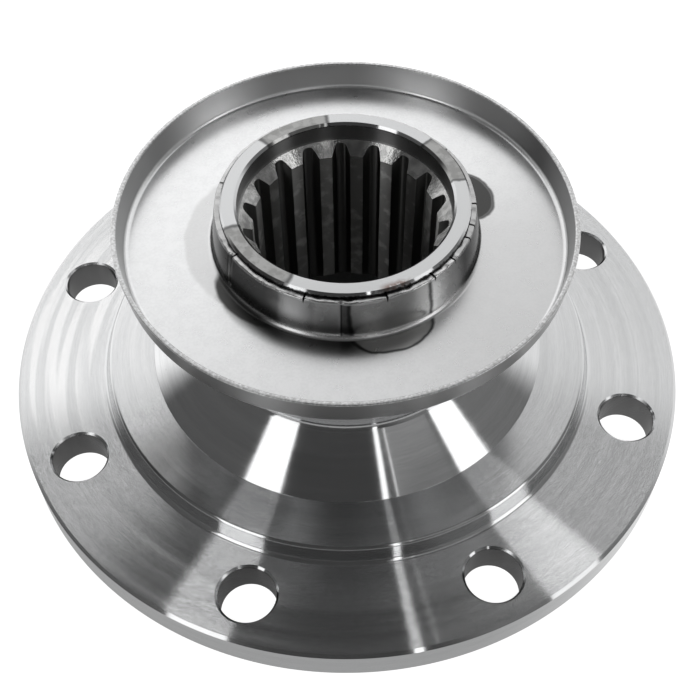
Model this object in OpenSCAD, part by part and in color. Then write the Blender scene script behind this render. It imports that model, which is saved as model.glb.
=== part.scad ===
// Driveshaft companion flange: a turned forging with a splined bore, and a pressed dust shield on its nose.
// The origin is the centre of the bolting face, +Z runs along the axis to the nose, millimetres.

/* [Bolt flange] */
// Outside diameter of the bolt flange
flange_d = 180; // [165:1:200]
// Thickness of the bolt flange
flange_t = 10; // [8:0.5:14]
// Chamfer on both outside edges of the flange
flange_chamfer = 0.8; // [0.4:0.1:1.5]
// Number of bolt holes
bolt_count = 8; // [4:1:10]
// Distance from the centre of a bolt hole to the flange's outside edge
bolt_edge = 12.25; // [10:0.25:14]
// Diameter of one bolt hole
bolt_hole_d = 14.1; // [10:0.1:16]
// Chamfer at both mouths of a bolt hole
bolt_chamfer = 0.6; // [0.3:0.1:1]

/* [Raised boss] */
// Width of the flat land between the flange's outside edge and the foot of the boss
land_w = 24; // [22:0.5:30]
// Height of the boss wall above the flange
boss_h = 4.6; // [3:0.2:7]
// Draft of the boss wall, from foot to edge
boss_draft = 1.4; // [0.6:0.1:2.5]
// Width of the boss face, from its edge to the cone
boss_face_w = 12.2; // [8:0.2:16]
// Rise of the boss face from its edge to the cone
boss_rise = 1; // [0.4:0.1:2]
// Fillet at the foot of the boss wall
boss_foot_r = 1; // [0.4:0.1:1.5]
// Rounding on the edge of the boss
boss_edge_r = 0.7; // [0.3:0.1:1]

/* [Hub] */
// Overall height, from bolting face to nose
hub_h = 68.3; // [66:0.1:80]
// Height of the cone
cone_h = 10.1; // [8:0.1:14]
// Diameter of the neck above the cone
neck_d = 74; // [70:0.5:80]
// Blend between cone and neck
neck_blend_r = 1.2; // [0.6:0.1:3]
// Diameter of the nose that carries the shield
nose_d = 59.8; // [57.6:0.1:62]
// Length of the nose above its shoulder
nose_h = 13.2; // [12.8:0.1:15]
// Fillet between nose and shoulder
nose_foot_r = 0.8; // [0.3:0.1:1.2]
// Chamfer on the outside edges of nose and shoulder
nose_chamfer = 0.5; // [0.2:0.1:0.8]
// Diameter of the counterbore in the nose
counterbore_d = 51.8; // [51.4:0.1:53]
// Depth of the counterbore
counterbore_h = 5; // [3:0.2:8]
// Chamfer at the counterbore's mouth
counterbore_chamfer = 0.6; // [0.2:0.1:1]

/* [Spline] */
// Number of spline spaces
spline_count = 18; // [12:1:18]
// Diameter across the spline roots
spline_root_d = 50; // [48:0.2:50.4]
// Diameter across the spline lands
spline_land_d = 45; // [43:0.2:46]
// Width of a space at the lands
space_w = 4.7; // [3.8:0.1:5]
// Pressure angle of the flanks
pressure_angle = 25; // [20:1:28]
// Rounding in the root corners of a space
root_r = 0.3; // [0.1:0.05:0.4]
// Angle of the first space from +X
spline_clock = 8.2; // [0:0.1:20]
// Lead-in chamfer at each end of the spline, beyond the roots
lead_over = 0.5; // [0.2:0.1:0.6]

/* [Underside] */
// Diameter of the pilot recess that centres the mating flange
pilot_d = 110; // [104:0.5:116]
// Depth of the pilot recess
pilot_h = 2.8; // [2:0.1:4]
// Diameter where the dish starts in the pilot recess
dish_d = 94; // [90:1:98]
// Height of the dish above the bolting face
dish_h = 8; // [6:0.5:10]
// Diameter of the nut pocket
nut_pocket_d = 66; // [60:1:68]
// Height of the nut seat above the bolting face
nut_seat_h = 12; // [10.5:0.5:20]

/* [Dust shield] */
// Thickness of the sheet
sheet_t = 1.2; // [0.8:0.1:1.4]
// Outside diameter at the top of the rim
rim_d = 112.6; // [106:0.2:118]
// Height of the rim, from the underside of the floor
rim_h = 8.2; // [6:0.2:11]
// Flare of the rim, from foot to top
rim_flare = 1.2; // [0.4:0.1:2]
// Inside bend between floor and rim
rim_bend_r = 1; // [0.5:0.1:1.8]
// Height of the collar, from the underside of the floor
collar_h = 11.9; // [9:0.1:12.2]
// Inside bend between floor and collar
collar_bend_r = 1.5; // [0.8:0.1:2.5]
// Radial gap between collar and nose
collar_gap = 0.1; // [0.05:0.01:0.2]
// Depth of the splits in the collar's edge
split_h = 1.4; // [0.6:0.1:2]
// Width of a split at the edge
split_w = 0.9; // [0.4:0.1:1.4]

/* [Hidden] */
$fn = 180;
over = 1;
flange_r = flange_d / 2;
bolt_circle_r = flange_r - bolt_edge;
boss_foot = flange_r - land_w;
boss_edge = boss_foot - boss_draft;
cone_foot = boss_edge - boss_face_w;
boss_top = flange_t + boss_h;
cone_foot_z = boss_top + boss_rise;
cone_top_z = cone_foot_z + cone_h;
neck_r = neck_d / 2;
nose_r = nose_d / 2;
shoulder_z = hub_h - nose_h;
counterbore_r = counterbore_d / 2;
spline_top_z = hub_h - counterbore_h;
root_circle = spline_root_d / 2;
land_circle = spline_land_d / 2;
lead_r = root_circle + lead_over;
lead_h = lead_r - land_circle;
floor_top_z = shoulder_z + sheet_t;
rim_r = rim_d / 2;
rim_top_z = shoulder_z + rim_h;
collar_in = nose_r + collar_gap;
collar_out = collar_in + sheet_t;
collar_top_z = shoulder_z + collar_h;
sheared_edge_r = sheet_t / 4;
// Where the drawn edge of the collar has torn, in degrees from +X
split_angles = [-6, -19, -27, -41, -54, -77, -112, -151, 163, 118, 74, 31];

function unit(v) = v / norm(v);

// Arc that rounds the corner b between a and c, or the corner itself when r is 0
function corner(a, b, c, r, steps) =
    r == 0 ? [b] :
    let (u = unit(a - b), w = unit(c - b), half = acos(u * w) / 2,
         centre = b + unit(u + w) * r / sin(half),
         start = b + u * r / tan(half) - centre,
         turn = sign(cross(u, w)) * (half * 2 - 180))
    [for (i = [0:steps]) let (t = turn * i / steps)
        centre + [start.x * cos(t) - start.y * sin(t), start.x * sin(t) + start.y * cos(t)]];

// Outline through corners given as [x, y, rounding]
function rounded(p, steps = 6) =
    let (n = len(p), xy = [for (q = p) [q.x, q.y]])
    [for (i = [0:n - 1]) each corner(xy[(i + n - 1) % n], xy[i], xy[(i + 1) % n], p[i][2], steps)];

// Half section of the turned forging, before the spline is cut
flange_section = [
    [land_circle, nut_seat_h + lead_h, 0],
    [lead_r, nut_seat_h, 0],
    [nut_pocket_d / 2, nut_seat_h, 0],
    [nut_pocket_d / 2, dish_h, 0],
    [dish_d / 2, pilot_h, 0],
    [pilot_d / 2, pilot_h, 0],
    [pilot_d / 2, flange_chamfer, 0],
    [pilot_d / 2 + flange_chamfer, 0, 0],
    [flange_r - flange_chamfer, 0, 0],
    [flange_r, flange_chamfer, 0],
    [flange_r, flange_t - flange_chamfer, 0],
    [flange_r - flange_chamfer, flange_t, 0],
    [boss_foot, flange_t, boss_foot_r],
    [boss_edge, boss_top, boss_edge_r],
    [cone_foot, cone_foot_z, 0],
    [neck_r, cone_top_z, neck_blend_r],
    [neck_r, shoulder_z - nose_chamfer, 0],
    [neck_r - nose_chamfer, shoulder_z, 0],
    [nose_r, shoulder_z, nose_foot_r],
    [nose_r, hub_h - nose_chamfer, 0],
    [nose_r - nose_chamfer, hub_h, 0],
    [counterbore_r + counterbore_chamfer, hub_h, 0],
    [counterbore_r, hub_h - counterbore_chamfer, 0],
    [counterbore_r, spline_top_z, 0],
    [lead_r, spline_top_z, 0],
    [land_circle, spline_top_z - lead_h, 0],
];

// Half section of the pressed sheet: floor, flared rim outside, drawn collar inside
shield_section = [
    [collar_in, shoulder_z, collar_bend_r + sheet_t],
    [rim_r - rim_flare, shoulder_z, rim_bend_r + sheet_t],
    [rim_r, rim_top_z, sheared_edge_r],
    [rim_r - sheet_t, rim_top_z, sheared_edge_r],
    [rim_r - rim_flare - sheet_t, floor_top_z, rim_bend_r],
    [collar_out, floor_top_z, collar_bend_r],
    [collar_out, collar_top_z, sheared_edge_r],
    [collar_in, collar_top_z, 0],
];

// Involute function, in degrees
function involute(a) = tan(a) * 180 / PI - a;

// Half angle of a space at radius r: involute flanks on the land circle
function space_half_angle(r) =
    space_w / spline_land_d * 180 / PI + involute(pressure_angle)
    - involute(acos(land_circle * cos(pressure_angle) / r));

// One flank point at radius r, on the side given by +1 or -1
function flank(r, side) = [r * cos(space_half_angle(r)), side * r * sin(space_half_angle(r))];

flank_steps = 4;
// The flanks start inside the bore, so that no corner lies on the land circle itself
flank_from = land_circle - over / 2;
flank_radii = [for (i = [0:flank_steps]) flank_from + (root_circle - flank_from) * i / flank_steps];

// Cross section of one spline space, open to the bore
space_section = concat(
    [for (i = [0:flank_steps]) [each flank(flank_radii[i], -1), i == flank_steps ? root_r : 0]],
    [for (i = [flank_steps:-1:0]) [each flank(flank_radii[i], 1), i == flank_steps ? root_r : 0]]
);

module spline_spaces() {
    for (i = [0:spline_count - 1])
        rotate([0, 0, spline_clock + i * 360 / spline_count])
            translate([0, 0, nut_seat_h - over])
                linear_extrude(height = spline_top_z - nut_seat_h + 2 * over)
                    polygon(rounded(space_section, 2));
}

// One bolt hole with a chamfer at each mouth
module bolt_hole() {
    translate([0, 0, -over])
        cylinder(d = bolt_hole_d, h = flange_t + 2 * over, $fn = 48);
    translate([0, 0, -over])
        cylinder(r1 = bolt_hole_d / 2 + bolt_chamfer + over, r2 = bolt_hole_d / 2,
                 h = bolt_chamfer + over, $fn = 48);
    translate([0, 0, flange_t - bolt_chamfer])
        cylinder(r1 = bolt_hole_d / 2, r2 = bolt_hole_d / 2 + bolt_chamfer + over,
                 h = bolt_chamfer + over, $fn = 48);
}

module flange() {
    color([0.78, 0.79, 0.80])
        difference() {
            rotate_extrude() polygon(rounded(flange_section));
            spline_spaces();
            for (i = [0:bolt_count - 1])
                rotate([0, 0, (i + 0.5) * 360 / bolt_count])
                    translate([bolt_circle_r, 0, 0])
                        bolt_hole();
        }
}

// A torn split: a wedge across the collar's wall that narrows downwards
module collar_split() {
    translate([collar_in - over, 0, collar_top_z])
        rotate([90, 0, 90])
            linear_extrude(height = sheet_t + 2 * over)
                polygon([[-split_w / 2, over], [0, -split_h], [split_w / 2, over]]);
}

module dust_shield() {
    color([0.86, 0.87, 0.88])
        difference() {
            rotate_extrude() polygon(rounded(shield_section));
            for (a = split_angles)
                rotate([0, 0, a]) collar_split();
        }
}

flange();
dust_shield();
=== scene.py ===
import math
import bpy
import bmesh
from mathutils import Matrix, Vector, noise


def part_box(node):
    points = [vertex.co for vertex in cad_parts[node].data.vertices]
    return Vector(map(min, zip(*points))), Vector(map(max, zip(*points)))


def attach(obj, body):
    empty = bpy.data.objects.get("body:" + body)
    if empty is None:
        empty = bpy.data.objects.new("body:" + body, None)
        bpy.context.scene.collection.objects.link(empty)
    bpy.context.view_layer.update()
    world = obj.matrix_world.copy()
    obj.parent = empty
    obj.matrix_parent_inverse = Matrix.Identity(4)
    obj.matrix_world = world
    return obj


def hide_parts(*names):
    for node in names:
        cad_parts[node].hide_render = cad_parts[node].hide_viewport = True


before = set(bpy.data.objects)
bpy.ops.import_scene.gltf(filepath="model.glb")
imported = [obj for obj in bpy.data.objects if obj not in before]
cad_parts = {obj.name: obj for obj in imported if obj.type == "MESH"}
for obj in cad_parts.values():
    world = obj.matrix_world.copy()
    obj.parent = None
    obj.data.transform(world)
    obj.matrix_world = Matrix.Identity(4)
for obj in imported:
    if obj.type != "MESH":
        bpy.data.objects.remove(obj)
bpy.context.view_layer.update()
mm = 0.001
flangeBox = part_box("flange")
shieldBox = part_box("dust_shield")
flangeRadius = flangeBox[1].x / mm
hubHeight = flangeBox[1].z / mm
rimRadius = shieldBox[1].x / mm
shoulderHeight = shieldBox[0].z / mm
rad = math.radians

print("frame loaded")


# Camera: the photograph's own viewpoint, worked out from the circles of the part
viewFrom = {
    "azimuth": -94.15,
    "elevation": 52.84,
    "distance": 318.5,
    "aimHeight": 10,
    "panRight": 0.154,
    "tiltUp": -0.179,
    "roll": -0.616,
    "lens": 59.04,
    "sensor": 36,
    "nearest": 10,
}


def fromAngles(azimuth, elevation, distance):
    flat = math.cos(rad(elevation)) * distance
    rise = math.sin(rad(elevation)) * distance
    return Vector((flat * math.cos(rad(azimuth)), flat * math.sin(rad(azimuth)), rise))


def makeCamera():
    data = bpy.data.cameras.new("photoCamera")
    data.lens = viewFrom["lens"]
    data.sensor_width = viewFrom["sensor"]
    data.clip_start = viewFrom["nearest"] * mm
    camera = bpy.data.objects.new("photoCamera", data)
    bpy.context.scene.collection.objects.link(camera)
    aim = Vector((0, 0, viewFrom["aimHeight"] * mm))
    place = aim + fromAngles(viewFrom["azimuth"], viewFrom["elevation"], viewFrom["distance"] * mm)
    look = (aim - place).to_track_quat("-Z", "Y").to_matrix().to_4x4()
    pan = Matrix.Rotation(rad(-viewFrom["panRight"]), 4, "Y")
    nudge = pan @ Matrix.Rotation(rad(viewFrom["tiltUp"]), 4, "X")
    roll = Matrix.Rotation(rad(viewFrom["roll"]), 4, "Z")
    camera.matrix_world = Matrix.Translation(place) @ look @ nudge @ roll
    bpy.context.scene.camera = camera


makeCamera()
print("camera placed")


# Small helpers for colours and node trees
def grey(tone):
    return (tone, tone, tone, 1)


def addNode(tree, kind, settings=None, **inputs):
    made = tree.nodes.new("ShaderNode" + kind)
    for name, value in (settings or {}).items():
        setattr(made, name, value)
    for name, value in inputs.items():
        plug(tree, made.inputs[int(name[1:])], value)
    return made


def setSockets(tree, made, values):
    for name, value in values.items():
        plug(tree, made.inputs[name], value)
    return made


def plug(tree, socket, value):
    if isinstance(value, bpy.types.NodeSocket):
        tree.links.new(value, socket)
    else:
        socket.default_value = value


def maths(tree, operation, a, b=0, c=0):
    return addNode(tree, "Math", {"operation": operation}, _0=a, _1=b, _2=c).outputs[0]


def plus(tree, a, b):
    return maths(tree, "ADD", a, b)


def minus(tree, a, b):
    return maths(tree, "SUBTRACT", a, b)


def timesPlus(tree, a, b, c):
    return maths(tree, "MULTIPLY_ADD", a, b, c)


def times(tree, *values):
    product = values[0]
    for value in values[1:]:
        product = maths(tree, "MULTIPLY", product, value)
    return product


def remap(tree, value, low, high, toLow=0, toHigh=1):
    made = addNode(tree, "MapRange", {"interpolation_type": "SMOOTHSTEP"},
                   _0=value, _1=low, _2=high, _3=toLow, _4=toHigh)
    return made.outputs[0]


def blendColour(tree, factor, a, b):
    made = addNode(tree, "Mix", {"data_type": "RGBA"}, _0=factor)
    plug(tree, made.inputs[6], a)
    plug(tree, made.inputs[7], b)
    return made.outputs[2]


# Lays a tone over a colour where a mask is
def paint(tree, colour, tone, mask, strength=1):
    factor = mask if strength == 1 else times(tree, mask, strength)
    return blendColour(tree, factor, colour, tone)


def softNoise(tree, point, scale, detail=3):
    made = addNode(tree, "TexNoise", _0=point)
    return setSockets(tree, made, {"Scale": scale, "Detail": detail}).outputs[0]


# A node group that takes a point and named numbers
def newGroup(name, numbers, results):
    group = bpy.data.node_groups.new(name, "ShaderNodeTree")
    group.interface.new_socket("Point", in_out="INPUT", socket_type="NodeSocketVector")
    for label in numbers:
        group.interface.new_socket(label, in_out="INPUT", socket_type="NodeSocketFloat")
    for label in results:
        group.interface.new_socket(label, in_out="OUTPUT", socket_type="NodeSocketFloat")
    given = group.nodes.new("NodeGroupInput").outputs
    return group, given, group.nodes.new("NodeGroupOutput").inputs


def useGroup(tree, group, **values):
    made = tree.nodes.new("ShaderNodeGroup")
    made.node_tree = group
    return setSockets(tree, made, values).outputs


# Group: radius, angle and height of a point round the part's axis, in millimetres and degrees
def makeAxisGroup():
    group, given, result = newGroup("axisPlace", [], ["Radius", "Angle", "Height"])
    x, y, z = addNode(group, "SeparateXYZ", _0=given["Point"]).outputs
    radius = maths(group, "SQRT", plus(group, times(group, x, x), times(group, y, y)))
    angle = times(group, maths(group, "ARCTAN2", y, x), 180 / math.pi)
    plug(group, result["Radius"], times(group, radius, 1 / mm))
    plug(group, result["Angle"], maths(group, "MODULO", plus(group, angle, 360), 360))
    plug(group, result["Height"], times(group, z, 1 / mm))
    return group


axisGroup = makeAxisGroup()


def roundAxis(tree, point):
    return useGroup(tree, axisGroup, Point=point)[:]


# Group: tool marks that run round the axis, pitch in millimetres
latheShape = {"heightShare": 0.9}


def makeLatheGroup():
    group, given, result = newGroup("latheMarks", ["Pitch", "Wander", "Detail"], ["Mark"])
    radius, angle, height = roundAxis(group, given["Point"])
    climb = times(group, height, latheShape["heightShare"])
    travel = minus(group, radius, climb)
    turn = times(group, angle, math.pi / 180)
    side = times(group, maths(group, "COSINE", turn), given["Wander"])
    front = times(group, maths(group, "SINE", turn), given["Wander"])
    along = maths(group, "DIVIDE", travel, given["Pitch"])
    where = addNode(group, "CombineXYZ", _0=along, _1=side, _2=front)
    grain = softNoise(group, where.outputs[0], 1, given["Detail"])
    plug(group, result["Mark"], grain)
    return group


# Group: short facets of the tool marks that lean outward, as a slope
facetShape = {"lean": 0.32, "spread": 0.45, "dashesPerDegree": 1.5, "startSpread": 20}


def makeFacetGroup():
    group, given, result = newGroup("turnedFacets", ["Ring", "Share"], ["Slope"])
    radius, angle, height = roundAxis(group, given["Point"])
    travel = minus(group, radius, height)
    ring = maths(group, "FLOOR", maths(group, "DIVIDE", travel, given["Ring"]))
    start = addNode(group, "TexWhiteNoise", {"noise_dimensions": "1D"}, _1=ring)
    begin = times(group, start.outputs[0], facetShape["startSpread"])
    dash = timesPlus(group, angle, facetShape["dashesPerDegree"], begin)
    where = addNode(group, "CombineXYZ", _0=ring, _1=maths(group, "FLOOR", dash))
    chance = addNode(group, "TexWhiteNoise", _0=where.outputs[0])
    picked = maths(group, "LESS_THAN", chance.outputs[0], given["Share"])
    spread = addNode(group, "SeparateColor", _0=chance.outputs[1])
    lean = timesPlus(group, spread.outputs[1], facetShape["spread"], facetShape["lean"])
    plug(group, result["Slope"], times(group, lean, picked))
    return group


# Group: a stretch of the circle between two angles, soft at both borders
def makeArcGroup():
    group, given, result = newGroup("arcZone", ["Middle", "Half", "Soft"], ["Inside"])
    angle = roundAxis(group, given["Point"])[1]
    turn = minus(group, angle, given["Middle"])
    away = maths(group, "ABSOLUTE", maths(group, "WRAP", turn, 180, -180))
    past = maths(group, "DIVIDE", minus(group, away, given["Half"]), given["Soft"])
    plug(group, result["Inside"], remap(group, past, -1, 1, 1, 0))
    return group


# Group: small nicks and specks scattered over a surface
nickShape = {"emptyCells": 0.72, "smallest": 0.3}


def makeNickGroup():
    group, given, result = newGroup("nicks", ["Spacing", "Size"], ["Nick"])
    scale = maths(group, "DIVIDE", 1 / mm, given["Spacing"])
    cells = addNode(group, "TexVoronoi", _0=given["Point"])
    plug(group, cells.inputs["Scale"], scale)
    reach = times(group, cells.outputs["Distance"], given["Spacing"])
    chance = addNode(group, "SeparateColor", _0=cells.outputs["Color"])
    picked = maths(group, "GREATER_THAN", chance.outputs[0], nickShape["emptyCells"])
    wide = times(group, given["Size"], plus(group, chance.outputs[1], nickShape["smallest"]))
    spot = minus(group, 1, maths(group, "DIVIDE", reach, wide))
    clear = addNode(group, "Clamp", _0=times(group, spot, picked))
    plug(group, result["Nick"], clear.outputs[0])
    return group


# Group: an oil film's lobe that hangs from a ring: its inside and its dried outline
filmShape = {"scale": 170, "detail": 3, "starts": 0.88, "insideEnds": 1.02, "lineFull": 0.97,
             "lineFades": 0.98, "lineEnds": 1.07}


def makeFilmGroup():
    lobe = ["Middle", "Half", "Root", "Reach", "Ragged"]
    group, given, result = newGroup("oilFilm", lobe, ["Inside", "Border"])
    radius, angle = roundAxis(group, given["Point"])[:2]
    turn = minus(group, angle, given["Middle"])
    across = maths(group, "DIVIDE", maths(group, "WRAP", turn, 180, -180), given["Half"])
    past = maths(group, "MAXIMUM", minus(group, radius, given["Root"]), 0)
    out = maths(group, "DIVIDE", past, given["Reach"])
    away = maths(group, "SQRT", timesPlus(group, across, across, times(group, out, out)))
    uneven = softNoise(group, given["Point"], filmShape["scale"], filmShape["detail"])
    shake = times(group, minus(group, uneven, 0.5), given["Ragged"])
    edge = plus(group, away, shake)
    inside = remap(group, edge, filmShape["starts"], filmShape["insideEnds"], 1, 0)
    rising = remap(group, edge, filmShape["starts"], filmShape["lineFull"])
    falling = remap(group, edge, filmShape["lineFades"], filmShape["lineEnds"], 1, 0)
    plug(group, result["Inside"], inside)
    plug(group, result["Border"], times(group, rising, falling))
    return group


latheGroup = makeLatheGroup()
facetGroup = makeFacetGroup()
arcGroup = makeArcGroup()
nickGroup = makeNickGroup()
filmGroup = makeFilmGroup()
print("shader groups made")


# An arc is its middle, its half width and the softness of its borders, in degrees
def arcMask(tree, point, arc):
    middle, half, soft = arc
    return useGroup(tree, arcGroup, Point=point, Middle=middle, Half=half, Soft=soft)["Inside"]


# A lobe of oil is its middle and half width in degrees, its reach and how ragged it is
def oilLobe(tree, point, lobe, root):
    middle, half, reach, ragged = lobe
    made = useGroup(tree, filmGroup, Point=point, Root=root,
                    Middle=middle, Half=half, Reach=reach, Ragged=ragged)
    return made["Inside"], made["Border"]


def latheMark(tree, point, pitch, wander, detail=2):
    return useGroup(tree, latheGroup, Point=point, Pitch=pitch, Wander=wander, Detail=detail)["Mark"]


def nickMask(tree, point, spacing, size):
    return useGroup(tree, nickGroup, Point=point, Spacing=spacing, Size=size)["Nick"]


roundSteps = 6
weldDistance = 1e-7
smoothBelow = 22


def spinRound(shape, steps):
    bmesh.ops.spin(shape, geom=shape.verts[:] + shape.edges[:], cent=(0, 0, 0), axis=(0, 0, 1),
                   angle=2 * math.pi, steps=steps, use_merge=True)
    bmesh.ops.remove_doubles(shape, verts=shape.verts[:], dist=weldDistance)


# Turning a half section into a solid
def spunSection(corners, steps):
    shape = bmesh.new()
    points = [shape.verts.new((r * mm, 0, z * mm)) for r, z, rounding in corners]
    for i, point in enumerate(points):
        shape.edges.new((points[i - 1], point))
    for point, (r, z, rounding) in zip(points, corners):
        if rounding:
            bmesh.ops.bevel(shape, geom=[point], affect="VERTICES", offset=rounding * mm,
                            offset_type="OFFSET", segments=roundSteps, profile=0.5, material=-1)
    spinRound(shape, steps)
    bmesh.ops.recalc_face_normals(shape, faces=shape.faces[:])
    return shape


# A solid of revolution whose ends are closed by flat faces
def spunOnAxis(points, steps):
    shape = bmesh.new()
    line = [shape.verts.new((r * mm, 0, z * mm)) for r, z in points]
    for a, b in zip(line, line[1:]):
        shape.edges.new((a, b))
    spinRound(shape, steps)
    bmesh.ops.holes_fill(shape, edges=shape.edges[:], sides=0)
    bmesh.ops.recalc_face_normals(shape, faces=shape.faces[:])
    return shape


def toObject(shape, name):
    mesh = bpy.data.meshes.new(name)
    shape.to_mesh(mesh)
    shape.free()
    made = bpy.data.objects.new(name, mesh)
    bpy.context.scene.collection.objects.link(made)
    return made


# Draws the only face of a shape out into a solid
def extrudeFace(shape, travel):
    grown = bmesh.ops.extrude_face_region(shape, geom=shape.faces[:])["geom"]
    moved = [part for part in grown if isinstance(part, bmesh.types.BMVert)]
    bmesh.ops.translate(shape, verts=moved, vec=travel)
    bmesh.ops.recalc_face_normals(shape, faces=shape.faces[:])


# Cuts the tools out of the solid, and keeps the result as its mesh
def cutAway(solid, tools):
    for tool in tools:
        cut = solid.modifiers.new("cut", "BOOLEAN")
        cut.operation = "DIFFERENCE"
        cut.solver = "EXACT"
        cut.object = tool
    settle(solid)
    for tool in tools:
        bpy.data.objects.remove(tool)


def settle(solid):
    depsgraph = bpy.context.evaluated_depsgraph_get()
    finished = bpy.data.meshes.new_from_object(solid.evaluated_get(depsgraph))
    solid.modifiers.clear()
    solid.data = finished


# Smooth shading with sharp edges kept
def shadeByAngle(solid):
    for face in solid.data.polygons:
        face.use_smooth = True
    solid.data.set_sharp_from_angle(angle=rad(smoothBelow))
    weighted = solid.modifiers.new("weighted", "WEIGHTED_NORMAL")
    weighted.keep_sharp = True
    settle(solid)


# Flange: one turned forging
flangeSizes = {
    "thick": 10, "edgeChamfer": 0.8,
    "landWidth": 24, "bossHeight": 4.6, "bossDraft": 1.4, "bossFaceWidth": 12.2, "bossRise": 1,
    "bossFootRound": 1, "bossEdgeRound": 0.7,
    "coneHeight": 10.1, "neckRadius": 37, "neckRound": 1.2,
    "noseRadius": 29.9, "noseChamfer": 0.5, "noseFootRound": 0.8,
    "counterboreRadius": 25.9, "counterboreDepth": 5, "counterboreChamfer": 0.6,
    "landCircle": 22.5, "rootCircle": 25, "leadOver": 0.5,
    "pilotRadius": 55, "pilotDepth": 2.8, "dishRadius": 47, "dishHeight": 8,
    "nutRadius": 33, "nutSeat": 12,
    "steps": 360,
}
bossFoot = flangeRadius - flangeSizes["landWidth"]
bossEdge = bossFoot - flangeSizes["bossDraft"]
coneFoot = bossEdge - flangeSizes["bossFaceWidth"]


# Half section, as radius, height and the rounding of each corner
def flangeCorners(s):
    outer = flangeRadius
    c = s["edgeChamfer"]
    bossTop = s["thick"] + s["bossHeight"]
    coneBase = bossTop + s["bossRise"]
    lead = s["rootCircle"] + s["leadOver"]
    leadHeight = lead - s["landCircle"]
    splineTop = hubHeight - s["counterboreDepth"]
    nose, chamfer = s["noseRadius"], s["noseChamfer"]
    return [
        (s["landCircle"], s["nutSeat"] + leadHeight, 0), (lead, s["nutSeat"], 0),
        (s["nutRadius"], s["nutSeat"], 0), (s["nutRadius"], s["dishHeight"], 0),
        (s["dishRadius"], s["pilotDepth"], 0), (s["pilotRadius"], s["pilotDepth"], 0),
        (s["pilotRadius"], c, 0), (s["pilotRadius"] + c, 0, 0),
        (outer - c, 0, 0), (outer, c, 0),
        (outer, s["thick"] - c, 0), (outer - c, s["thick"], 0),
        (bossFoot, s["thick"], s["bossFootRound"]), (bossEdge, bossTop, s["bossEdgeRound"]),
        (coneFoot, coneBase, 0), (s["neckRadius"], coneBase + s["coneHeight"], s["neckRound"]),
        (s["neckRadius"], shoulderHeight - chamfer, 0), (s["neckRadius"] - chamfer, shoulderHeight, 0),
        (nose, shoulderHeight, s["noseFootRound"]),
        (nose, hubHeight - chamfer, 0), (nose - chamfer, hubHeight, 0),
        (s["counterboreRadius"] + s["counterboreChamfer"], hubHeight, 0),
        (s["counterboreRadius"], hubHeight - s["counterboreChamfer"], 0),
        (s["counterboreRadius"], splineTop, 0), (lead, splineTop, 0),
        (s["landCircle"], splineTop - leadHeight, 0),
    ]


boltSizes = {"count": 8, "circle": 77.75, "radius": 7.05, "chamfer": 0.6, "past": 1, "sides": 96}


def boltCutters(s, thick):
    tools = []
    for i in range(s["count"]):
        angle = (i + 0.5) * 2 * math.pi / s["count"]
        flare = s["radius"] + s["chamfer"] + s["past"]
        drill = spunOnAxis([(flare, -s["past"]), (s["radius"], s["chamfer"]),
                            (s["radius"], thick - s["chamfer"]), (flare, thick + s["past"])], s["sides"])
        bmesh.ops.translate(drill, verts=drill.verts[:], vec=(s["circle"] * mm, 0, 0))
        bmesh.ops.rotate(drill, verts=drill.verts[:], cent=(0, 0, 0), matrix=Matrix.Rotation(angle, 3, "Z"))
        tools.append(toObject(drill, "drill%d" % i))
    return tools


splineSizes = {
    "count": 18, "firstAngle": 8.2, "spaceWidth": 4.7, "pressureAngle": 25,
    "rootRounding": 0.8, "rootSteps": 4, "flankSteps": 8, "inside": 0.5, "past": 1,
}


# Half the angle that a spline space spans at a radius: involute flanks
def spaceHalfAngle(radius, s, landCircle):
    def involute(a):
        return math.tan(a) - a
    pressure = rad(s["pressureAngle"])
    here = math.acos(landCircle * math.cos(pressure) / radius)
    return s["spaceWidth"] / (2 * landCircle) + involute(pressure) - involute(here)


def splineCutters(s, f):
    tools = []
    start = f["landCircle"] - s["inside"]
    radii = [start + (f["rootCircle"] - start) * i / s["flankSteps"] for i in range(s["flankSteps"] + 1)]
    bottom = f["nutSeat"] - s["past"]
    rise = hubHeight - f["counterboreDepth"] - f["nutSeat"] + 2 * s["past"]
    for k in range(s["count"]):
        shape = bmesh.new()
        middle = rad(s["firstAngle"] + k * 360 / s["count"])
        ring = []
        for side, along in ((-1, radii), (1, radii[::-1])):
            for r in along:
                a = side * spaceHalfAngle(r, s, f["landCircle"]) + middle
                ring.append(shape.verts.new((r * mm * math.cos(a), r * mm * math.sin(a), bottom * mm)))
        shape.faces.new(ring)
        corners = [ring[len(radii) - 1], ring[len(radii)]]
        bmesh.ops.bevel(shape, geom=corners, affect="VERTICES", offset=s["rootRounding"] * mm,
                        offset_type="OFFSET", segments=s["rootSteps"], profile=0.5, material=-1)
        extrudeFace(shape, (0, 0, rise * mm))
        tools.append(toObject(shape, "broach%d" % k))
    return tools


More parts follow.
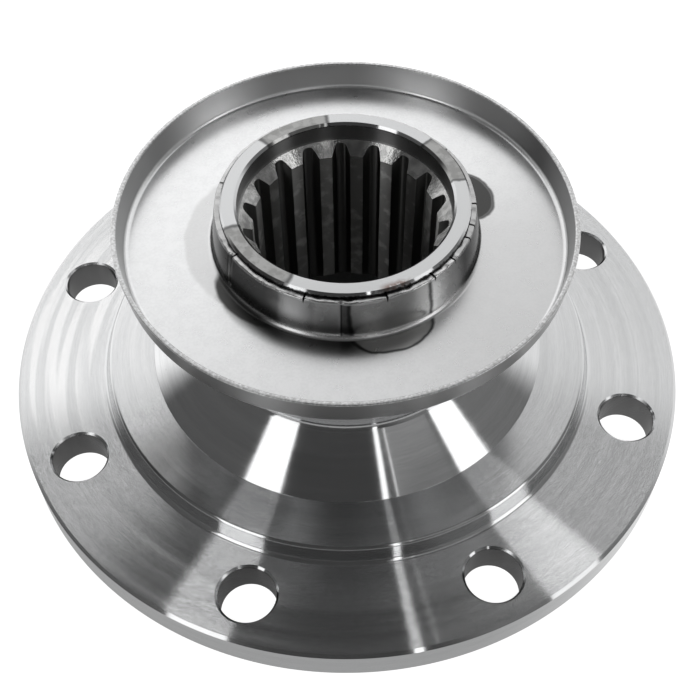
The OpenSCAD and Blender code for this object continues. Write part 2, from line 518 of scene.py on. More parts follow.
# Turned steel: bright and streaky along the tool marks, with painted sheen on the flange's left side, and
# painted shade on the boss face, in the gap round the nose, on the counterbore wall, in the oiled spline and
# on the drilled holes' walls
turnedLook = {
    "steel": (0.72, 0.725, 0.73, 1),
    "dull": (0.60, 0.605, 0.61, 1),
    "bright": grey(0.95),
    "film": (0.26, 0.26, 0.255, 1),
    "filmLight": (0.34, 0.34, 0.335, 1),
    "stain": grey(0.10),
    "rust": (0.20, 0.13, 0.11, 1),
    "land": (0.78, 0.78, 0.765, 1),
    # near-black tone of the spline spaces: their oil, and painted shade deep in the spline
    "space": (0.16, 0.16, 0.156, 1),
    # painted shade: dark tone of the drilled holes' walls
    "hole": grey(0.13),
    "leadDull": (0.42, 0.42, 0.415, 1),
    "leadBright": (0.66, 0.66, 0.65, 1),
    # painted shade on the counterbore wall, with a darker painted shadow in one arc
    "recess": grey(0.36),
    "recessDark": grey(0.10),
    "end": (0.57, 0.575, 0.58, 1),
    # painted shade: near black in the gap round the nose
    "gapShade": grey(0.02),
    "coneRoughness": 0.12, "bossRoughness": 0.125, "flangeRoughness": 0.13,
    "bandRoughness": 0.06, "darkRoughness": 0.12, "chamferRoughness": 0.03,
    "leadRoughness": 0.12, "recessRoughness": 0.2,
    "anisotropy": 1, "alongMarks": 0.25,
    "streakPitch": 0.3, "streakWander": 18, "streakShare": 0.3,
    "ringPitch": 0.5, "ringWander": 0.2, "ringShare": 0.3, "ringRelief": 0.12,
    "bandPitch": 3.5, "bandWander": 0.9, "bandDetail": 0.6, "bandShare": 0.4, "bandRelief": 2.6,
    # painted sheen: lighter streaks painted over the flange's left side
    "sheenPitch": 2.7, "sheenWander": 1.2, "sheenDetail": 1,
    "sheenArc": (170, 24, 12), "sheenStrength": 0.75, "sheenOnBoss": 0.25,
    "paintedSheen": grey(0.88),
    # painted shade: a darker patch on part of the boss face
    "bossShadeArc": (216, 9, 10), "bossShadeScale": 90,
    "bossShadeTone": grey(0.28),
    "nickSpacing": 8, "nickSize": 0.14, "nickStrength": 0.7, "nickRelief": 0.5,
    "speckSpacing": 13, "speckSize": 0.22, "speckStrength": 0.6,
    "markDepth": 0.034, "slopeRelief": 0.15,
    "facetRing": 0.0025, "facetShare": 0.43, "bossFacetShare": 0.16,
    "films": [(216.6, 22, 10, 0.25), (23.4, 16, 10, 0.25), (113, 18.5, 10, 0.25)],
    "filmRoot": 40, "filmLine": 0.9, "cloudScale": 420,
    "rustArc": (287.9, 6, 3), "rustStrength": 0.85,
    "crackDepth": 0.62, "burrHeight": 1.3, "burrScale": 1500,
    "recessArc": (8, 20, 10),
    "scuffScale": 450, "leadGrain": 1800, "leadRelief": 1.5, "sootScale": 260,
    # each range: its start and end, then the values there when they are not 0 and 1
    "markRange": (0.25, 0.75), "lineRange": (0.46, 0.6), "shadeBreakupRange": (0.35, 0.55, 0.55, 0.85),
    "cloudRange": (0.4, 0.62), "endRange": (32, 30.5),
    "rustRange": (0.38, 0.55), "rustReach": (27.6, 29.4),
    "scuffRange": (0.35, 0.65), "sootRange": (0.3, 0.5, 0, 0.5),
    "flatRange": (0.96, 0.99), "wallRange": (0.5, 0.4),
}


def startMaterial(name):
    material = bpy.data.materials.new(name)
    material.use_nodes = True
    tree = material.node_tree
    tree.nodes.clear()
    out = addNode(tree, "OutputMaterial")
    shader = addNode(tree, "BsdfPrincipled")
    tree.links.new(shader.outputs[0], out.inputs[0])
    point = addNode(tree, "TexCoord").outputs["Object"]
    return material, tree, shader, point


def addBump(tree, relief, strength, depth, normal=None):
    bump = addNode(tree, "Bump")
    setSockets(tree, bump, {"Strength": strength, "Distance": depth * mm, "Height": relief})
    if normal is not None:
        plug(tree, bump.inputs["Normal"], normal)
    return bump.outputs[0]


# Mask of the spline: all that lies under its lead-in chamfer
def splineMask(tree, radius, height):
    f = flangeSizes
    lead = f["rootCircle"] + f["leadOver"]
    chamferLine = f["landCircle"] - (hubHeight - f["counterboreDepth"] - (lead - f["landCircle"]))
    slant = minus(tree, radius, height)
    under = minus(tree, slant, chamferLine)
    inner = remap(tree, radius, f["rootCircle"] + 0.6, f["rootCircle"] + 0.4)
    return times(tree, remap(tree, under, 0.05, 0.3), inner)


# How far a point lies from the axis of the nearest drilled hole
def holeReach(tree, radius, angle):
    pitch = 360 / boltSizes["count"]
    turn = minus(tree, maths(tree, "MODULO", angle, pitch), pitch / 2)
    turn = times(tree, turn, math.pi / 180)
    x = times(tree, radius, maths(tree, "COSINE", turn))
    y = times(tree, radius, maths(tree, "SINE", turn))
    x = minus(tree, x, boltSizes["circle"])
    return maths(tree, "SQRT", timesPlus(tree, x, x, times(tree, y, y)))


# Masks of the places that differ from the bare turned faces
def steelMasks(tree, place):
    f = flangeSizes
    radius, angle, height = place
    recessed = times(tree, remap(tree, height, hubHeight - 0.5, hubHeight - 1),
                     remap(tree, radius, f["counterboreRadius"] + 0.5, f["counterboreRadius"] + 0.3))
    recessWall = times(tree, recessed, remap(tree, radius, f["rootCircle"] + 0.6, f["rootCircle"] + 0.8))
    reach = holeReach(tree, radius, angle)
    holeEdge = boltSizes["radius"] + boltSizes["chamfer"]
    return {
        "recessWall": recessWall,
        "lead": minus(tree, recessed, recessWall),
        "spline": splineMask(tree, radius, height),
        "hole": remap(tree, reach, boltSizes["radius"] + 0.12, boltSizes["radius"] + 0.04),
        "clearOfHoles": remap(tree, reach, holeEdge, holeEdge + 0.15),
    }


def steelMarks(tree, point, look):
    return {
        "streak": latheMark(tree, point, look["streakPitch"], look["streakWander"]),
        "ring": latheMark(tree, point, look["ringPitch"], look["ringWander"]),
        "band": latheMark(tree, point, look["bandPitch"], look["bandWander"], look["bandDetail"]),
        "nick": nickMask(tree, point, look["nickSpacing"], look["nickSize"]),
    }


# Bare metal: tool marks, painted sheen in streaks over the flange's left side, painted shade on part of the
# boss face, nicks and specks
def bareSteel(tree, point, radius, marks, look):
    mixed = times(tree, marks["ring"], look["ringShare"])
    mixed = timesPlus(tree, marks["streak"], look["streakShare"], mixed)
    mixed = timesPlus(tree, marks["band"], look["bandShare"], mixed)
    metal = blendColour(tree, remap(tree, mixed, *look["markRange"]), look["dull"], look["steel"])
    # painted sheen: lighter streaks over an arc of the flange, less on the boss
    line = latheMark(tree, point, look["sheenPitch"], look["sheenWander"], look["sheenDetail"])
    sheenMask = arcMask(tree, point, look["sheenArc"])
    offBoss = remap(tree, radius, bossFoot - 1, bossFoot + 1, look["sheenOnBoss"], 1)
    lines = remap(tree, line, *look["lineRange"], 0, look["sheenStrength"])
    sheenMask = times(tree, sheenMask, offBoss, lines)
    metal = paint(tree, metal, look["paintedSheen"], sheenMask)
    # painted shade: a darker, broken-up patch on the boss face
    bossShade = arcMask(tree, point, look["bossShadeArc"])
    onBossFace = times(tree, remap(tree, radius, coneFoot - 0.1, coneFoot + 0.3),
                       remap(tree, radius, bossFoot - 1, bossFoot - 1.6))
    shadeBreakup = remap(tree, softNoise(tree, point, look["bossShadeScale"], 2), *look["shadeBreakupRange"])
    metal = paint(tree, metal, look["bossShadeTone"], times(tree, bossShade, onBossFace, shadeBreakup))
    metal = paint(tree, metal, look["stain"], marks["nick"], look["nickStrength"])
    speck = nickMask(tree, point, look["speckSpacing"], look["speckSize"])
    return paint(tree, metal, look["bright"], speck, look["speckStrength"])


# The end of the hub: oil films with dried outlines, and a rust spot at the outer edge
def hubEnd(tree, point, place, metal, look):
    radius, angle, height = place
    atEnd = times(tree, remap(tree, height, hubHeight - 4.5, hubHeight - 3.5),
                  remap(tree, radius, *look["endRange"]))
    cloud = softNoise(tree, point, look["cloudScale"], 4)
    tint = blendColour(tree, remap(tree, cloud, *look["cloudRange"]), look["film"], look["filmLight"])
    metal = paint(tree, metal, look["end"], atEnd)
    for film in look["films"]:
        inside, border = oilLobe(tree, point, film, look["filmRoot"])
        metal = paint(tree, metal, tint, times(tree, inside, atEnd))
        metal = paint(tree, metal, look["stain"], times(tree, border, atEnd), look["filmLine"])
    rusty = arcMask(tree, point, look["rustArc"])
    rusty = times(tree, rusty, remap(tree, cloud, *look["rustRange"]))
    outerEdge = times(tree, remap(tree, radius, *look["rustReach"]),
                      remap(tree, height, hubHeight - 3, hubHeight - 1))
    return paint(tree, metal, look["rust"], times(tree, rusty, outerEdge), look["rustStrength"])


# Painted shade in the dark places: the gap round the nose, the counterbore wall, the oiled spline's spaces
# and the drilled holes' walls; scuffs on the lead-in and soot on the lands
def darkPlaces(tree, point, place, masks, metal, look):
    radius, angle, height = place
    nose = flangeSizes["noseRadius"]
    # painted shade: the nose's wall below a ragged lip is painted near black, for the gap next to the
    # shield's collar
    burr = minus(tree, softNoise(tree, point, look["burrScale"], 2), 0.5)
    lip = timesPlus(tree, burr, look["burrHeight"], hubHeight - look["crackDepth"])
    gapShade = times(tree, remap(tree, radius, nose - 0.3, nose - 0.1),
                  remap(tree, radius, nose + 0.6, nose + 0.3),
                  remap(tree, minus(tree, height, lip), 0.15, -0.15))
    metal = paint(tree, metal, look["gapShade"], gapShade)
    # painted shade on the counterbore wall, darker still in one arc
    shadow = arcMask(tree, point, look["recessArc"])
    wallShade = blendColour(tree, shadow, look["recess"], look["recessDark"])
    metal = paint(tree, metal, wallShade, masks["recessWall"])
    scuff = remap(tree, softNoise(tree, point, look["scuffScale"]), *look["scuffRange"])
    leadTone = blendColour(tree, scuff, look["leadDull"], look["leadBright"])
    metal = paint(tree, metal, leadTone, masks["lead"])
    soot = remap(tree, softNoise(tree, point, look["sootScale"]), *look["sootRange"])
    land = blendColour(tree, minus(tree, 1, soot), look["space"], look["land"])
    # the spline spaces take the near-black tone: their oil, and painted shade deep in the bore
    deep = remap(tree, radius, flangeSizes["landCircle"] + 0.05, flangeSizes["landCircle"] + 0.25)
    metal = paint(tree, metal, blendColour(tree, deep, land, look["space"]), masks["spline"])
    # painted shade: the drilled holes' walls are painted dark
    return paint(tree, metal, look["hole"], masks["hole"])


def steelRoughness(tree, radius, marks, masks, look):
    rough = remap(tree, radius, bossFoot - 0.7, bossFoot + 0.7,
                  look["bossRoughness"], look["flangeRoughness"])
    coneChange = look["coneRoughness"] - look["bossRoughness"]
    rough = plus(tree, rough, remap(tree, radius, coneFoot + 0.1, coneFoot - 0.1, 0, coneChange))
    changes = [
        (minus(tree, marks["band"], 0.5), look["bandRoughness"]),
        (maths(tree, "MAXIMUM", masks["spline"], masks["hole"]), look["darkRoughness"]),
        (minus(tree, 1, masks["clearOfHoles"]), look["chamferRoughness"]),
        (masks["lead"], look["leadRoughness"]),
        (masks["recessWall"], look["recessRoughness"]),
    ]
    for mask, change in changes:
        rough = timesPlus(tree, mask, change, rough)
    return rough


# Relief of the tool marks, over facets that lean outward on the flat faces and upward on the boss's wall
def steelNormal(tree, point, radius, marks, masks, tangent, look):
    normal = addNode(tree, "NewGeometry").outputs["Normal"]
    upright = addNode(tree, "SeparateXYZ", _0=normal).outputs[2]
    onFlats = times(tree, remap(tree, radius, coneFoot - 0.1, coneFoot + 0.1),
                    remap(tree, upright, *look["flatRange"]))
    onWall = times(tree, remap(tree, upright, *look["wallRange"]),
                   remap(tree, radius, bossFoot + 1, bossFoot + 0.6),
                   remap(tree, radius, bossFoot - 2.4, bossFoot - 2))
    turned = minus(tree, times(tree, onFlats, masks["clearOfHoles"]), onWall)
    share = remap(tree, radius, bossFoot - 1.8, bossFoot - 1.2, look["bossFacetShare"], look["facetShare"])
    facet = useGroup(tree, facetGroup, Point=point, Ring=look["facetRing"], Share=share)
    slope = times(tree, facet["Slope"], turned)
    along = addNode(tree, "VectorMath", {"operation": "CROSS_PRODUCT"}, _0=tangent, _1=normal)
    lean = addNode(tree, "VectorMath", {"operation": "SCALE"}, _0=along.outputs[0], _3=slope)
    leaning = addNode(tree, "VectorMath", {"operation": "ADD"}, _0=normal, _1=lean.outputs[0])
    faceted = addNode(tree, "VectorMath", {"operation": "NORMALIZE"}, _0=leaning.outputs[0])

    relief = times(tree, marks["band"], look["bandRelief"])
    relief = timesPlus(tree, marks["ring"], look["ringRelief"], relief)
    flatness = timesPlus(tree, onFlats, 1 - look["slopeRelief"], look["slopeRelief"])
    relief = minus(tree, times(tree, relief, flatness), times(tree, marks["nick"], look["nickRelief"]))
    leadGrain = times(tree, softNoise(tree, point, look["leadGrain"]), masks["lead"])
    relief = timesPlus(tree, leadGrain, look["leadRelief"], relief)
    return addBump(tree, relief, 1, look["markDepth"], faceted.outputs[0])


def makeTurnedSteel():
    look = turnedLook
    material, tree, shader, point = startMaterial("turnedSteel")
    place = roundAxis(tree, point)
    radius = place[0]
    marks = steelMarks(tree, point, look)
    masks = steelMasks(tree, place)
    metal = bareSteel(tree, point, radius, marks, look)
    metal = hubEnd(tree, point, place, metal, look)
    metal = darkPlaces(tree, point, place, masks, metal, look)
    tangent = addNode(tree, "Tangent", {"direction_type": "RADIAL", "axis": "Z"}).outputs[0]
    setSockets(tree, shader, {
        "Base Color": metal,
        "Metallic": 1,
        "Roughness": steelRoughness(tree, radius, marks, masks, look),
        "Anisotropic": look["anisotropy"],
        "Anisotropic Rotation": look["alongMarks"],
        "Tangent": tangent,
        "Normal": steelNormal(tree, point, radius, marks, masks, tangent, look),
    })
    return material


turnedSteel = makeTurnedSteel()
print("turned steel made")


def makeFlange():
    solid = toObject(spunSection(flangeCorners(flangeSizes), flangeSizes["steps"]), "turnedFlange")
    cutAway(solid, boltCutters(boltSizes, flangeSizes["thick"]) + splineCutters(splineSizes, flangeSizes))
    shadeByAngle(solid)
    solid.data.materials.append(turnedSteel)
    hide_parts("flange")
    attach(solid, "root")
    print("flange turned, drilled and broached:", len(solid.data.polygons), "faces")


makeFlange()


# Dust shield: pressed sheet with a flared rim and a drawn, torn collar
shieldSizes = {
    "sheet": 1.2, "rimHeight": 8.2, "rimFlare": 1.2, "rimBend": 1,
    "collarHeight": 11.9, "collarBend": 1.5, "collarGap": 0.1, "collarRows": 8,
    "splitDepth": 1.4, "splitWidth": 0.9, "splitPast": 1,
    "splitAngles": [-6, -19, -27, -41, -54, -77, -112, -151, 163, 118, 74, 31],
    "flare": 1.25, "flarePower": 1.6, "flareReach": 4,
    "tearDepth": 0.28, "tearScale": 2.4, "tearReach": 2.5,
    "bulge": 0.18, "bulgeScale": 7,
    "rimWave": 0.12, "waveScale": 22, "waveReach": 5, "rimBurr": 0.015, "burrScale": 1.1,
    # angle, half width in degrees, depth
    "creases": [(263.9, 1.4, 0.14), (208, 1.6, 0.5)],
    "steps": 540,
}


# Half section, as radius, height and the rounding of each corner
def shieldCorners(s):
    inside = flangeSizes["noseRadius"] + s["collarGap"]
    outside = inside + s["sheet"]
    base, floor = shoulderHeight, shoulderHeight + s["sheet"]
    rimTop, collarTop = base + s["rimHeight"], base + s["collarHeight"]
    edge = s["sheet"] / 4
    foot = rimRadius - s["rimFlare"]
    start = floor + s["collarBend"] + 0.4
    rise = (collarTop - edge - start - 0.2) / s["collarRows"]
    wall = [(outside, start + rise * i, 0) for i in range(s["collarRows"] + 1)]
    return [
        (inside, base, s["collarBend"] + s["sheet"]), (foot, base, s["rimBend"] + s["sheet"]),
        (rimRadius, rimTop, edge), (rimRadius - s["sheet"], rimTop, edge),
        (foot - s["sheet"], floor, s["rimBend"]), (outside, floor, s["collarBend"]),
    ] + wall + [(outside, collarTop, edge), (inside, collarTop, 0)]


# Notches that open upward in the collar's edge
def splitCutters(s):
    tools = []
    inside = (flangeSizes["noseRadius"] + s["collarGap"] - s["splitPast"]) * mm
    top = shoulderHeight + s["collarHeight"]
    half = s["splitWidth"] / 2
    notch = [(-half, top + s["splitPast"]), (0, top - s["splitDepth"]), (half, top + s["splitPast"])]
    for k, angle in enumerate(s["splitAngles"]):
        shape = bmesh.new()
        shape.faces.new([shape.verts.new((inside, y * mm, z * mm)) for y, z in notch])
        extrudeFace(shape, ((s["sheet"] + 2 * s["splitPast"]) * mm, 0, 0))
        turn = Matrix.Rotation(rad(angle), 3, "Z")
        bmesh.ops.rotate(shape, verts=shape.verts[:], cent=(0, 0, 0), matrix=turn)
        tools.append(toObject(shape, "split%d" % k))
    return tools


# Pressed sheet: satin floor with fine mottling, polished collar under oil films, mid-grey rim, with painted
# light and shade round the collar, the rim and the floor
sheetLook = {
    "satin": (0.86, 0.865, 0.87, 1),
    "mottled": (0.80, 0.805, 0.81, 1),
    # bright tone for the wear on the torn collar edge and for the painted highlight at the collar's foot
    "wearAndHighlight": grey(0.72),
    # grey for the old stain and for the painted shade over one side of the floor
    "stainAndShade": grey(0.55),
    "collar": grey(0.15),
    "smudge": (0.27, 0.27, 0.265, 1),
    "rim": grey(0.48),
    "under": grey(0.5),
    "film": (0.055, 0.055, 0.054, 1),
    "filmPale": (0.46, 0.46, 0.455, 1),
    "outline": grey(0.03),
    "roughness": 0.28, "collarRoughness": 0.27, "rimRoughness": 0.35,
    "mottleScale": 330, "grainScale": 1600, "smearScale": 140, "grainShare": 0.45,
    "grainStrength": 0.06, "grainDepth": 0.02, "mottleRoughness": 0.04,
    "mottleRange": (0.38, 0.62), "smudgeRange": (0.48, 0.68), "scuffRange": (0.25, 0.85),
    "speckSpacing": 9, "speckSize": 0.2, "speckStrength": 0.5,
    # painted reflection: the dark collar mirrored in the floor round its foot
    "collarReflectionLobe": (250, 52, 6.9, 0.3), "collarReflectionStrength": 0.92,
    # lobe, colour, strength, outline, and the share of the strength on the wall
    "films": [
        ((218, 19, 4.1, 0.22), "film", 0.95, 0.3, 0.4),
        ((16.9, 14, 7, 0.22), "film", 0.97, 0.8, 1),
        ((284.8, 18, 5.9, 0.22), "filmPale", 0.85, 0.9, 1),
    ],
    # painted light and shade round the collar: each zone's arc and its tone
    "collarLightAndShade": [
        ((187, 18, 8), 0.02),
        ((221, 10, 6), 0.4),
        ((246, 9, 5), 0.42),
        ((257.9, 5.5, 1.2), 0.6),
        ((308, 14, 5), 0.85),
        ((348, 21, 7), 0.02),
        ((90, 60, 25), 0.42),
    ],
    # painted light and shade round the rim: each zone's arc and its tone
    "rimLightAndShade": [
        ((1, 25, 8), 0.07),
        ((64, 11, 9), 1),
        ((126, 12, 10), 1),
        ((174, 18, 10), 0.22),
        ((212, 16, 12), 0.3),
    ],
    "paintedLightStrength": 0.8,
    # a painted dark line of shade along a fold in the collar, and the arc of the painted highlight at the
    # collar's foot
    "creaseShadeArc": (263.7, 0.35, 0.4), "footHighlightArc": (279.5, 44, 8),
    "tornStrength": 0.65, "tornUneven": 1.6, "tornDepth": 0.6,
    "stainLobe": (181, 40, 7.3, 0.25), "stainStrength": 0.5,
    # painted shade over one side of the floor
    "shadedArc": (333, 42, 25), "shadedStrength": 0.5,
}


# Painted light and shade: grey tones that change round the circle
def paintLightRound(tree, point, colour, zones, strength):
    for arc, tone in zones:
        colour = paint(tree, colour, grey(tone), arcMask(tree, point, arc), strength)
    return colour


# Satin floor with specks, a painted dark reflection of the collar round its foot, an old stain and painted
# shade over one side
def sheetFloor(tree, point, radius, mixed, outside, look):
    sheet = blendColour(tree, remap(tree, mixed, *look["mottleRange"]), look["mottled"], look["satin"])
    speck = nickMask(tree, point, look["speckSpacing"], look["speckSize"])
    sheet = paint(tree, sheet, look["outline"], speck, look["speckStrength"])
    # painted reflection of the dark collar in the floor round its foot, in the film's dark tone
    collarReflection = oilLobe(tree, point, look["collarReflectionLobe"], outside)[0]
    fade = remap(tree, radius, outside + look["collarReflectionLobe"][2], outside + 2)
    sheet = paint(tree, sheet, look["film"], times(tree, collarReflection, fade), look["collarReflectionStrength"])
    stain = oilLobe(tree, point, look["stainLobe"], outside)[0]
    sheet = paint(tree, sheet, look["stainAndShade"], stain, look["stainStrength"])
    # painted shade over one side of the floor
    shaded = arcMask(tree, point, look["shadedArc"])
    return paint(tree, sheet, look["stainAndShade"], shaded, look["shadedStrength"])


# Smudged collar with painted light and shade round it and painted shade along a fold, and the oil films that
# run down it on to the floor
def oiledCollar(tree, point, smear, onCollar, sheet, outside, look):
    smudgeLightAndShade = blendColour(tree, remap(tree, smear, *look["smudgeRange"]), look["collar"], look["smudge"])
    # painted light and shade: the collar's tone is brighter where the lamps are mirrored, darker elsewhere
    smudgeLightAndShade = paintLightRound(tree, point, smudgeLightAndShade, look["collarLightAndShade"], look["paintedLightStrength"])
    # painted shade: a thin dark line along a fold in the collar
    creaseShade = arcMask(tree, point, look["creaseShadeArc"])
    smudgeLightAndShade = paint(tree, smudgeLightAndShade, look["outline"], creaseShade)
    sheet = paint(tree, sheet, smudgeLightAndShade, onCollar)
    for lobe, colour, strength, line, onWall in look["films"]:
        inside, border = oilLobe(tree, point, lobe, outside)
        shade = timesPlus(tree, onCollar, strength * (onWall - 1), strength)
        sheet = paint(tree, sheet, look[colour], times(tree, inside, shade))
        sheet = paint(tree, sheet, look["outline"], border, line)
    return sheet


# Painted highlight along the front of the collar's foot, and the wear on its torn upper edge
def footHighlightAndTornEdge(tree, point, place, smear, sheet, outside, look):
    radius, angle, height = place
    floorTop = shoulderHeight + shieldSizes["sheet"]
    # painted highlight: a bright line along the front of the collar's foot
    front = arcMask(tree, point, look["footHighlightArc"])
    foot = times(tree, remap(tree, radius, outside + 0.15, outside + 0.45),
                 remap(tree, radius, outside + 1.4, outside + 1),
                 remap(tree, height, floorTop + 1.2, floorTop + 0.9), front)
    sheet = paint(tree, sheet, look["wearAndHighlight"], foot)
    edge = shoulderHeight + shieldSizes["collarHeight"] - look["tornDepth"]
    tear = timesPlus(tree, minus(tree, smear, 0.5), look["tornUneven"], edge)
    torn = times(tree, remap(tree, minus(tree, height, tear), -0.1, 0.2),
                 remap(tree, radius, outside + 1, outside + 0.8))
    return paint(tree, sheet, look["wearAndHighlight"], torn, look["tornStrength"])


# Rim with painted light and shade round it, a scuffed lip with painted glints, and the underside
def rimAndUnder(tree, point, place, grain, onRim, sheet, look):
    radius, angle, height = place
    # painted light and shade: the rim's tone is brighter where the lamps are mirrored, darker elsewhere
    rim = paintLightRound(tree, point, look["rim"], look["rimLightAndShade"], look["paintedLightStrength"])
    sheet = paint(tree, sheet, rim, onRim)
    rimTop = shoulderHeight + shieldSizes["rimHeight"]
    lip = times(tree, remap(tree, height, rimTop - 0.45, rimTop - 0.2),
                remap(tree, radius, rimRadius - 3, rimRadius - 2.5))
    # the lip is scuffed, and painted with bright glints where the grain runs high
    scuffAndGlint = blendColour(tree, remap(tree, grain, *look["scuffRange"]), look["rim"], look["satin"])
    sheet = paint(tree, sheet, scuffAndGlint, lip)
    return paint(tree, sheet, look["under"], remap(tree, height, shoulderHeight + 0.5, shoulderHeight + 0.3))


def makePressedSheet():
    look, s = sheetLook, shieldSizes
    material, tree, shader, point = startMaterial("pressedSheet")
    place = roundAxis(tree, point)
    radius, angle, height = place
    outside = flangeSizes["noseRadius"] + s["collarGap"] + s["sheet"] + s["flare"]
    floorTop = shoulderHeight + s["sheet"]
    mottle = softNoise(tree, point, look["mottleScale"], 5)
    grain = softNoise(tree, point, look["grainScale"], 2)
    smear = softNoise(tree, point, look["smearScale"], 2)
    mixed = times(tree, mottle, 1 - look["grainShare"])
    mixed = timesPlus(tree, grain, look["grainShare"], mixed)
    onCollar = times(tree, remap(tree, height, floorTop + 0.15, floorTop + 0.6),
                     remap(tree, radius, outside + 3, outside + 2))
    onRim = times(tree, remap(tree, radius, rimRadius - 3, rimRadius - 2.2),
                  remap(tree, height, floorTop + 0.3, floorTop + 1.2))
    sheet = sheetFloor(tree, point, radius, mixed, outside, look)
    sheet = oiledCollar(tree, point, smear, onCollar, sheet, outside, look)
    sheet = footHighlightAndTornEdge(tree, point, place, smear, sheet, outside, look)
    sheet = rimAndUnder(tree, point, place, grain, onRim, sheet, look)
    rough = timesPlus(tree, onCollar, look["collarRoughness"] - look["roughness"], look["roughness"])
    rough = timesPlus(tree, onRim, look["rimRoughness"] - look["roughness"], rough)
    rough = timesPlus(tree, minus(tree, mottle, 0.5), look["mottleRoughness"], rough)
    relief = addBump(tree, mixed, look["grainStrength"], look["grainDepth"])
    setSockets(tree, shader, {"Base Color": sheet, "Metallic": 1, "Roughness": rough, "Normal": relief})
    return material


pressedSheet = makePressedSheet()
print("pressed sheet made")


# How far the collar's wall stands out from its upper edge at a height
def collarFlare(height, s):
    rise = min(1, max(0, (height - shoulderHeight - s["sheet"]) / (s["collarHeight"] - s["sheet"])))
    return s["flare"] * (1 - rise ** s["flarePower"])


# How far the creases draw the collar's wall in at an angle
def creaseDraw(angle, s):
    drawn = 0
    for middle, half, depth in s["creases"]:
        away = abs((angle - middle + 180) % 360 - 180) / half
        drawn += depth * max(0, 1 - away * away) ** 2
    return drawn


# Hand-worked look: a collar that flares to its foot, its torn edge and creases, and a slightly wavy rim
def wearShield(solid, s):
    collarTop = shoulderHeight + s["collarHeight"]
    rimTop = shoulderHeight + s["rimHeight"]
    wallMiddle = flangeSizes["noseRadius"] + s["collarGap"] + s["sheet"] * 0.6
    wallStart = shoulderHeight + s["sheet"] + s["collarBend"]
    for vert in solid.data.vertices:
        place = vert.co.copy()
        radius, height = math.hypot(place.x, place.y) / mm, place.z / mm
        outward = Vector((place.x, place.y, 0)).normalized()
        if radius < wallMiddle + s["sheet"] and height > wallStart:
            high = max(0, 1 - (collarTop - height) / s["tearReach"])
            vert.co.z -= abs(noise.noise(place / (s["tearScale"] * mm))) * s["tearDepth"] * high * mm
            if radius > wallMiddle:
                angle = math.degrees(math.atan2(place.y, place.x)) % 360
                swell = noise.noise(place / (s["bulgeScale"] * mm)) * s["bulge"] * high
                vert.co += outward * (swell - creaseDraw(angle, s) + collarFlare(height, s)) * mm
        elif radius < wallMiddle + s["flareReach"] and height > shoulderHeight + s["sheet"] * 0.9:
            vert.co += outward * collarFlare(height, s) * mm
        elif radius > rimRadius - s["waveReach"] and height > rimTop - s["waveReach"]:
            high = 1 - (rimTop - height) / s["waveReach"]
            wave = 0.5 + 0.5 * noise.noise(place / (s["waveScale"] * mm))
            vert.co -= outward * wave * s["rimWave"] * high * mm
            if high > 0.9:
                vert.co.z -= abs(noise.noise(place / (s["burrScale"] * mm))) * s["rimBurr"] * mm


def makeShield():
    solid = toObject(spunSection(shieldCorners(shieldSizes), shieldSizes["steps"]), "pressedShield")
    cutAway(solid, splitCutters(shieldSizes))
    wearShield(solid, shieldSizes)
    shadeByAngle(solid)
    solid.data.materials.append(pressedSheet)
    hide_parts("dust_shield")
    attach(solid, "root")
    print("shield pressed:", len(solid.data.polygons), "faces")


makeShield()


# Studio: pale floor, a broad bright back, four soft boxes, three narrow strips and a faint panel above
studio = {
    # each range: its start and end, then the values there when they are not 0 and 1
    "backLevel": (0.6, 0.85, 1.28, 0.98), "backRight": (-0.1, 0.3, 1, 0.8),
    "backSoften": (0.3, 0.7, 1, 2.4), "backBorder": (-0.06, 0.08),
    "dimLeft": (-0.15, -0.27, 0, 0.12), "dimRight": (0.08, 0.22, 0, 0.13), "dimRise": (0.7, 0.8),
    "frontLeft": (-0.3, -0.6), "frontRight": (0.3, 0.65),
    # the floor's glow stops under the part between these radii, a painted shadow, and the border of the glow
    # seen in the metal
    "hubShadowReach": (45, 60), "floorBorder": (-0.085, -0.02),
    "backEdge": 0.2, "backTilt": 0.33, "darkFront": 0.062, "darkLeft": 0.11, "darkRight": 0.2,
    "floorSize": 2, "floorDrop": 0.05, "floorTone": 0.3, "floorRoughness": 0.9,
    "floorFront": 0.37, "floorBack": 0.85, "floorTurn": 0.336,
    "distance": 1.2,
    # name, azimuth, elevation, lean, width, height and radiance of each light
    "lights": [
        ("boxLeft", 217, 50, 22, 0.285, 0.42, 1.75),
        ("boxLeftLow", 225.5, 24, 8, 0.33, 0.7, 1.45),
        ("boxRight", 337.2, 45, -28, 0.265, 0.38, 1.75),
        ("boxRightLow", 328.2, 20, -13, 0.32, 0.65, 1.25),
        ("strip", 287.4, 54, -10, 0.042, 0.5, 1.7),
        ("stripLow", 283.7, 28, -3, 0.048, 0.6, 2.1),
        ("stripThin", 293.85, 52.8, -10, 0.01, 0.4, 1.3),
        ("topPanel", 309.85, 57, 0, 0.45, 0.35, 0.3),
    ],
}


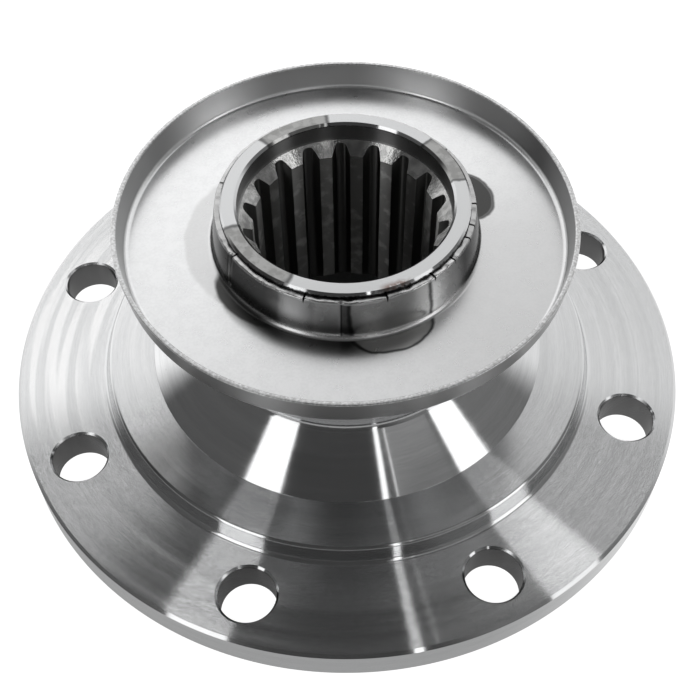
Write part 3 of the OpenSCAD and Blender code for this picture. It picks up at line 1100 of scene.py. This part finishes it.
# Bright behind the part and dark in front of it, turned with the photograph's view
def makeWorld():
    world = bpy.data.worlds.new("studio")
    bpy.context.scene.world = world
    world.use_nodes = True
    tree = world.node_tree
    tree.nodes.clear()
    direction = addNode(tree, "TexCoord").outputs["Generated"]
    turn = addNode(tree, "VectorRotate", {"rotation_type": "Z_AXIS"}, _0=direction)
    turn.inputs["Angle"].default_value = rad(-(viewFrom["azimuth"] + 90))
    x, y, z = addNode(tree, "SeparateXYZ", _0=turn.outputs[0]).outputs
    aside = maths(tree, "ABSOLUTE", x)
    edge = timesPlus(tree, z, studio["backTilt"], studio["backEdge"])
    reach = plus(tree, remap(tree, x, *studio["dimLeft"]), remap(tree, x, *studio["dimRight"]))
    reach = times(tree, reach, remap(tree, z, *studio["dimRise"]))
    past = plus(tree, minus(tree, y, edge), reach)
    soften = remap(tree, aside, *studio["backSoften"])
    onBack = remap(tree, maths(tree, "DIVIDE", past, soften), *studio["backBorder"])
    level = times(tree, remap(tree, z, *studio["backLevel"]), remap(tree, x, *studio["backRight"]))
    left = remap(tree, x, *studio["frontLeft"])
    right = remap(tree, x, *studio["frontRight"])
    dark = timesPlus(tree, left, studio["darkLeft"] - studio["darkFront"], studio["darkFront"])
    dark = timesPlus(tree, right, studio["darkRight"] - studio["darkFront"], dark)
    bright = timesPlus(tree, onBack, minus(tree, level, dark), dark)
    direct = addNode(tree, "LightPath").outputs["Is Camera Ray"]
    back = addNode(tree, "Background", _0=maths(tree, "MAXIMUM", bright, direct))
    tree.links.new(back.outputs[0], addNode(tree, "OutputWorld").inputs[0])


def makeLights():
    for name, azimuth, elevation, lean, width, height, radiance in studio["lights"]:
        data = bpy.data.lights.new(name, "AREA")
        data.shape = "RECTANGLE"
        data.size = width
        data.size_y = height
        data.energy = radiance * math.pi * width * height
        light = bpy.data.objects.new(name, data)
        bpy.context.scene.collection.objects.link(light)
        place = fromAngles(azimuth, elevation, studio["distance"])
        aim = (-place).to_track_quat("-Z", "Y").to_matrix().to_4x4()
        light.matrix_world = Matrix.Translation(place) @ aim @ Matrix.Rotation(rad(lean), 4, "Z")
        light.visible_camera = False


# White to the camera; seen in the metal its glow is painted light, darker to the front and lighter to the
# back, with a painted shadow under the part; unseen from below
def makeFloor():
    shape = bmesh.new()
    bmesh.ops.create_grid(shape, x_segments=1, y_segments=1, size=studio["floorSize"])
    bmesh.ops.translate(shape, verts=shape.verts[:], vec=(0, 0, -studio["floorDrop"] * mm))
    floor = toObject(shape, "floor")
    material, tree, shader, point = startMaterial("paleFloor")
    # painted shadow: no glow under the part
    outsideHubShadow = remap(tree, roundAxis(tree, point)[0], *studio["hubShadowReach"])
    x, y, z = addNode(tree, "SeparateXYZ", _0=point).outputs
    toBack = remap(tree, timesPlus(tree, x, studio["floorTurn"], y), *studio["floorBorder"])
    floorRise = studio["floorBack"] - studio["floorFront"]
    seenInMetal = timesPlus(tree, toBack, floorRise, studio["floorFront"])
    direct = addNode(tree, "LightPath").outputs["Is Camera Ray"]
    glow = timesPlus(tree, direct, minus(tree, 1, seenInMetal), seenInMetal)
    under = addNode(tree, "NewGeometry").outputs["Backfacing"]
    setSockets(tree, shader, {
        "Base Color": grey(studio["floorTone"]),
        "Roughness": studio["floorRoughness"],
        "Specular IOR Level": 0,
        "Emission Color": times(tree, glow, outsideHubShadow),
        "Emission Strength": 1,
        "Alpha": minus(tree, 1, under),
    })
    floor.data.materials.append(material)


makeWorld()
makeLights()
makeFloor()
bpy.context.scene.view_settings.view_transform = "Standard"
print("studio lit")
